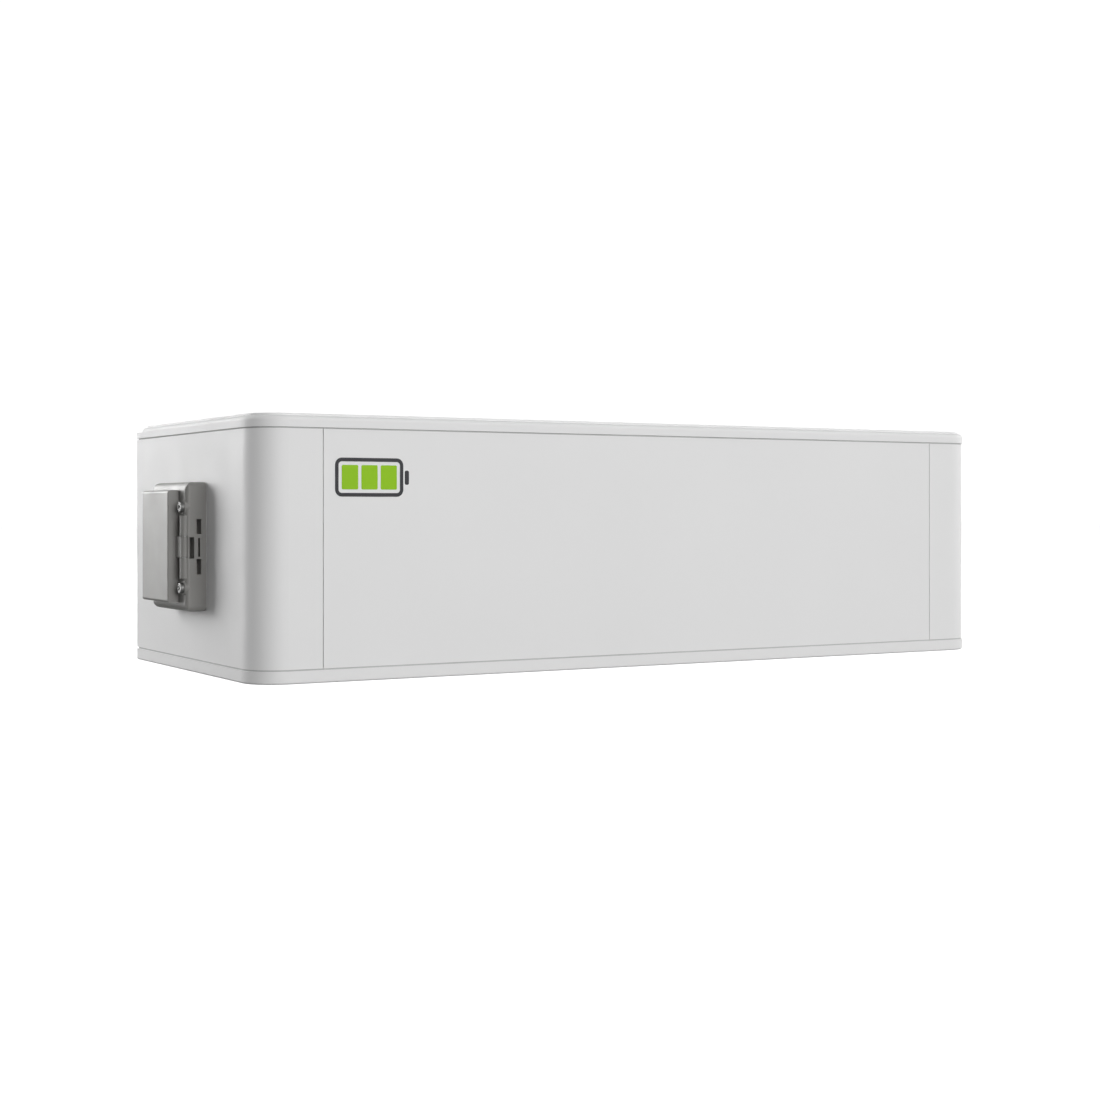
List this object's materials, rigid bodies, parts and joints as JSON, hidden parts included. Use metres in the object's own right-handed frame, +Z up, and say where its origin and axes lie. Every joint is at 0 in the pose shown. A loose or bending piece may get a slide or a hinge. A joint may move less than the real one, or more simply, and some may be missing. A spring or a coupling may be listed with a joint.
{
  "type": "wall battery unit",
  "caption": "Low, wide stackable lithium battery module in a white metal case, with a hinged connector port on its left wall and threaded wall inserts behind.",
  "frame": {"origin": "centre of the flat underside of the tray, below the middle of the lid's outline", "axes": "+X to the right along the width, +Y to the back, towards the wall, +Z up"},
  "size_m": [0.6735, 0.2599, 0.185],
  "materials": {
    "white_powder_coat": "satin",
    "seam_rubber": "matte",
    "grey_plastic": "satin",
    "black_plastic": "matte",
    "zinc_steel": "satin",
    "dark_screw_steel": "satin",
    "aluminium": "satin",
    "copper_bar": "satin",
    "cell_wrap": "satin",
    "circuit_board": "satin",
    "fuse_ceramic": "matte",
    "red_insulation": "satin",
    "black_insulation": "satin",
    "insulating_sheet": "matte",
    "button_plastic": "satin"
  },
  "bodies": {
    "case": {"bottom_tray": "white_powder_coat", "top_lid": "white_powder_coat", "tray_gasket": "seam_rubber", "lid_gasket": "seam_rubber", "left_side_panel": "white_powder_coat", "right_side_panel": "white_powder_coat", "front_panel": "white_powder_coat", "front_panel_seals": "seam_rubber", "front_panel_nuts": "zinc_steel", "rear_panel": "white_powder_coat", "wall_inserts": "zinc_steel", "case_screws": "zinc_steel", "cell_spacers": "insulating_sheet", "cell_base_pad": "insulating_sheet", "left_end_plate": "aluminium", "right_end_plate": "aluminium", "front_side_strap": "zinc_steel", "rear_side_strap": "zinc_steel", "strap_screws": "zinc_steel", "pack_bolts": "zinc_steel", "busbar_holder": "black_plastic", "busbars": "copper_bar", "sense_board": "circuit_board", "bms_heat_sink": "aluminium", "bms_mosfets": "black_plastic", "bms_standoffs": "zinc_steel", "bms_board": "circuit_board", "m3_screws": "zinc_steel", "fuse_holder": "black_plastic", "main_fuse": "fuse_ceramic", "positive_leads": "red_insulation", "negative_leads": "black_insulation", "signal_harness": "black_insulation", "port_base": "grey_plastic", "port_gasket": "seam_rubber", "hinge_pin": "zinc_steel", "port_screws": "dark_screw_steel", "socket_plate": "black_plastic", "power_sockets": "black_plastic", "port_board": "black_plastic", "pressure_vent": "black_plastic", "earth_stud": "zinc_steel", "cell_01": "cell_wrap", "cell_02": "cell_wrap", "cell_03": "cell_wrap", "cell_04": "cell_wrap", "cell_05": "cell_wrap", "cell_06": "cell_wrap", "cell_07": "cell_wrap", "cell_08": "cell_wrap", "cell_09": "cell_wrap", "cell_10": "cell_wrap", "cell_11": "cell_wrap", "cell_12": "cell_wrap", "cell_13": "cell_wrap", "cell_14": "cell_wrap", "cell_15": "cell_wrap", "cell_16": "cell_wrap"},
    "cover": {"port_cover": "grey_plastic"},
    "button": {"wake_button": "button_plastic"}
  },
  "joints": [
    {"name": "port_cover_hinge", "type": "hinge", "parent": "case", "child": "cover", "pos_m": [-0.3396, -0.0288, 0.0923], "axis": [0, 0, 1], "range_deg": [0, 110]},
    {"name": "wake_button_press", "type": "slide", "parent": "case", "child": "button", "axis": [1, 0, 0], "range_m": [0, 0.0015], "stiffness_N_per_m": 800}
  ]
}
